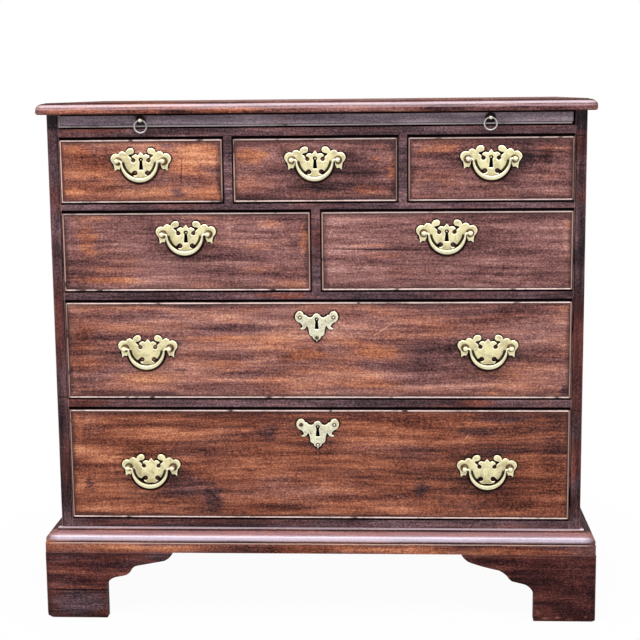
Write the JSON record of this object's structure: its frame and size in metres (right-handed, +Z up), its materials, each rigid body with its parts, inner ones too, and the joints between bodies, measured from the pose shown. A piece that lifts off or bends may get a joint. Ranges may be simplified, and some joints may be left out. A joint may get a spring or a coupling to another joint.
{
  "type": "bachelors chest",
  "caption": "Low mahogany chest with a pull-out brushing slide, cock-beaded drawers, pierced brass handles with swinging bails, drawer locks and bracket feet.",
  "frame": {"origin": "on the floor under the middle of the whole chest", "axes": "+Z up, +X to the right as seen from the front, the drawers face -Y"},
  "size_m": [0.935, 0.505, 0.876],
  "materials": {
    "mahogany_carcase": "old waxed polish, worn",
    "mahogany_drawer": "old waxed polish, faded and mottled",
    "oak": "dry and unpolished",
    "pine": "dry and unpolished",
    "brass": "aged, softly polished",
    "steel": "dark, slightly rusted"
  },
  "bodies": {
    "carcase": {"top_board": "mahogany_carcase", "left_side": "mahogany_carcase", "right_side": "mahogany_carcase", "back_boards": "pine", "drawer_rails": "mahogany_carcase", "dustboards": "pine", "drawer_guides_and_stops": "oak", "base_moulding": "mahogany_carcase", "left_front_foot": "mahogany_carcase", "right_front_foot": "mahogany_carcase", "left_back_foot": "mahogany_carcase", "right_back_foot": "mahogany_carcase"},
    "brushing_slide": {"slide_board": "mahogany_carcase", "slide_pull_eyes": "brass"},
    "left_pull_ring": {"left_pull_ring": "brass"},
    "right_pull_ring": {"right_pull_ring": "brass"},
    "upper_left_drawer": {"upper_left_drawer_front": "mahogany_drawer", "upper_left_drawer_cock_beads": "mahogany_drawer", "upper_left_drawer_box": "oak", "upper_left_drawer_brasses": "brass"},
    "upper_left_drawer_lock_bolt": {"upper_left_drawer_lock_bolt": "steel"},
    "upper_left_drawer_bail": {"upper_left_drawer_bail": "brass"},
    "upper_middle_drawer": {"upper_middle_drawer_front": "mahogany_drawer", "upper_middle_drawer_cock_beads": "mahogany_drawer", "upper_middle_drawer_box": "oak", "upper_middle_drawer_brasses": "brass"},
    "upper_middle_drawer_lock_bolt": {"upper_middle_drawer_lock_bolt": "steel"},
    "upper_middle_drawer_bail": {"upper_middle_drawer_bail": "brass"},
    "upper_right_drawer": {"upper_right_drawer_front": "mahogany_drawer", "upper_right_drawer_cock_beads": "mahogany_drawer", "upper_right_drawer_box": "oak", "upper_right_drawer_brasses": "brass"},
    "upper_right_drawer_lock_bolt": {"upper_right_drawer_lock_bolt": "steel"},
    "upper_right_drawer_bail": {"upper_right_drawer_bail": "brass"},
    "half_left_drawer": {"half_left_drawer_front": "mahogany_drawer", "half_left_drawer_cock_beads": "mahogany_drawer", "half_left_drawer_box": "oak", "half_left_drawer_brasses": "brass"},
    "half_left_drawer_lock_bolt": {"half_left_drawer_lock_bolt": "steel"},
    "half_left_drawer_bail": {"half_left_drawer_bail": "brass"},
    "half_right_drawer": {"half_right_drawer_front": "mahogany_drawer", "half_right_drawer_cock_beads": "mahogany_drawer", "half_right_drawer_box": "oak", "half_right_drawer_brasses": "brass"},
    "half_right_drawer_lock_bolt": {"half_right_drawer_lock_bolt": "steel"},
    "half_right_drawer_bail": {"half_right_drawer_bail": "brass"},
    "long_drawer": {"long_drawer_front": "mahogany_drawer", "long_drawer_cock_beads": "mahogany_drawer", "long_drawer_box": "oak", "long_drawer_brasses": "brass"},
    "long_drawer_lock_bolt": {"long_drawer_lock_bolt": "steel"},
    "long_drawer_left_bail": {"long_drawer_left_bail": "brass"},
    "long_drawer_right_bail": {"long_drawer_right_bail": "brass"},
    "deep_drawer": {"deep_drawer_front": "mahogany_drawer", "deep_drawer_cock_beads": "mahogany_drawer", "deep_drawer_box": "oak", "deep_drawer_brasses": "brass"},
    "deep_drawer_lock_bolt": {"deep_drawer_lock_bolt": "steel"},
    "deep_drawer_left_bail": {"deep_drawer_left_bail": "brass"},
    "deep_drawer_right_bail": {"deep_drawer_right_bail": "brass"}
  },
  "joints": [
    {"name": "brushing_slide_out", "type": "slide", "parent": "carcase", "child": "brushing_slide", "axis": [0, -1, 0], "range_m": [0, 0.27]},
    {"name": "left_pull_ring_swing", "type": "hinge", "parent": "brushing_slide", "child": "left_pull_ring", "pos_m": [-0.286, -0.2335, 0.84695], "axis": [-1, 0, 0], "range_deg": [-8, 95]},
    {"name": "right_pull_ring_swing", "type": "hinge", "parent": "brushing_slide", "child": "right_pull_ring", "pos_m": [0.286, -0.2335, 0.84695], "axis": [-1, 0, 0], "range_deg": [-8, 95]},
    {"name": "upper_left_drawer_out", "type": "slide", "parent": "carcase", "child": "upper_left_drawer", "axis": [0, -1, 0], "range_m": [0, 0.36]},
    {"name": "upper_left_drawer_bolt_throw", "type": "slide", "parent": "upper_left_drawer", "child": "upper_left_drawer_lock_bolt", "axis": [0, 0, 1], "range_m": [0, 0.0075]},
    {"name": "upper_left_drawer_bail_swing", "type": "hinge", "parent": "upper_left_drawer", "child": "upper_left_drawer_bail", "pos_m": [-0.28767, -0.2445, 0.7805], "axis": [-1, 0, 0], "range_deg": [-15, 95]},
    {"name": "upper_middle_drawer_out", "type": "slide", "parent": "carcase", "child": "upper_middle_drawer", "axis": [0, -1, 0], "range_m": [0, 0.36]},
    {"name": "upper_middle_drawer_bolt_throw", "type": "slide", "parent": "upper_middle_drawer", "child": "upper_middle_drawer_lock_bolt", "axis": [0, 0, 1], "range_m": [0, 0.0075]},
    {"name": "upper_middle_drawer_bail_swing", "type": "hinge", "parent": "upper_middle_drawer", "child": "upper_middle_drawer_bail", "pos_m": [0, -0.2445, 0.7805], "axis": [-1, 0, 0], "range_deg": [-15, 95]},
    {"name": "upper_right_drawer_out", "type": "slide", "parent": "carcase", "child": "upper_right_drawer", "axis": [0, -1, 0], "range_m": [0, 0.36]},
    {"name": "upper_right_drawer_bolt_throw", "type": "slide", "parent": "upper_right_drawer", "child": "upper_right_drawer_lock_bolt", "axis": [0, 0, 1], "range_m": [0, 0.0075]},
    {"name": "upper_right_drawer_bail_swing", "type": "hinge", "parent": "upper_right_drawer", "child": "upper_right_drawer_bail", "pos_m": [0.28767, -0.2445, 0.7805], "axis": [-1, 0, 0], "range_deg": [-15, 95]},
    {"name": "half_left_drawer_out", "type": "slide", "parent": "carcase", "child": "half_left_drawer", "axis": [0, -1, 0], "range_m": [0, 0.36]},
    {"name": "half_left_drawer_bolt_throw", "type": "slide", "parent": "half_left_drawer", "child": "half_left_drawer_lock_bolt", "axis": [0, 0, 1], "range_m": [0, 0.0075]},
    {"name": "half_left_drawer_bail_swing", "type": "hinge", "parent": "half_left_drawer", "child": "half_left_drawer_bail", "pos_m": [-0.216, -0.2445, 0.6595], "axis": [-1, 0, 0], "range_deg": [-15, 95]},
    {"name": "half_right_drawer_out", "type": "slide", "parent": "carcase", "child": "half_right_drawer", "axis": [0, -1, 0], "range_m": [0, 0.36]},
    {"name": "half_right_drawer_bolt_throw", "type": "slide", "parent": "half_right_drawer", "child": "half_right_drawer_lock_bolt", "axis": [0, 0, 1], "range_m": [0, 0.0075]},
    {"name": "half_right_drawer_bail_swing", "type": "hinge", "parent": "half_right_drawer", "child": "half_right_drawer_bail", "pos_m": [0.216, -0.2445, 0.6595], "axis": [-1, 0, 0], "range_deg": [-15, 95]},
    {"name": "long_drawer_out", "type": "slide", "parent": "carcase", "child": "long_drawer", "axis": [0, -1, 0], "range_m": [0, 0.36]},
    {"name": "long_drawer_bolt_throw", "type": "slide", "parent": "long_drawer", "child": "long_drawer_lock_bolt", "axis": [0, 0, 1], "range_m": [0, 0.0075]},
    {"name": "long_drawer_left_bail_swing", "type": "hinge", "parent": "long_drawer", "child": "long_drawer_left_bail", "pos_m": [-0.285, -0.2445, 0.4675], "axis": [-1, 0, 0], "range_deg": [-15, 95]},
    {"name": "long_drawer_right_bail_swing", "type": "hinge", "parent": "long_drawer", "child": "long_drawer_right_bail", "pos_m": [0.285, -0.2445, 0.4675], "axis": [-1, 0, 0], "range_deg": [-15, 95]},
    {"name": "deep_drawer_out", "type": "slide", "parent": "carcase", "child": "deep_drawer", "axis": [0, -1, 0], "range_m": [0, 0.36]},
    {"name": "deep_drawer_bolt_throw", "type": "slide", "parent": "deep_drawer", "child": "deep_drawer_lock_bolt", "axis": [0, 0, 1], "range_m": [0, 0.0075]},
    {"name": "deep_drawer_left_bail_swing", "type": "hinge", "parent": "deep_drawer", "child": "deep_drawer_left_bail", "pos_m": [-0.285, -0.2445, 0.262], "axis": [-1, 0, 0], "range_deg": [-15, 95]},
    {"name": "deep_drawer_right_bail_swing", "type": "hinge", "parent": "deep_drawer", "child": "deep_drawer_right_bail", "pos_m": [0.285, -0.2445, 0.262], "axis": [-1, 0, 0], "range_deg": [-15, 95]}
  ]
}
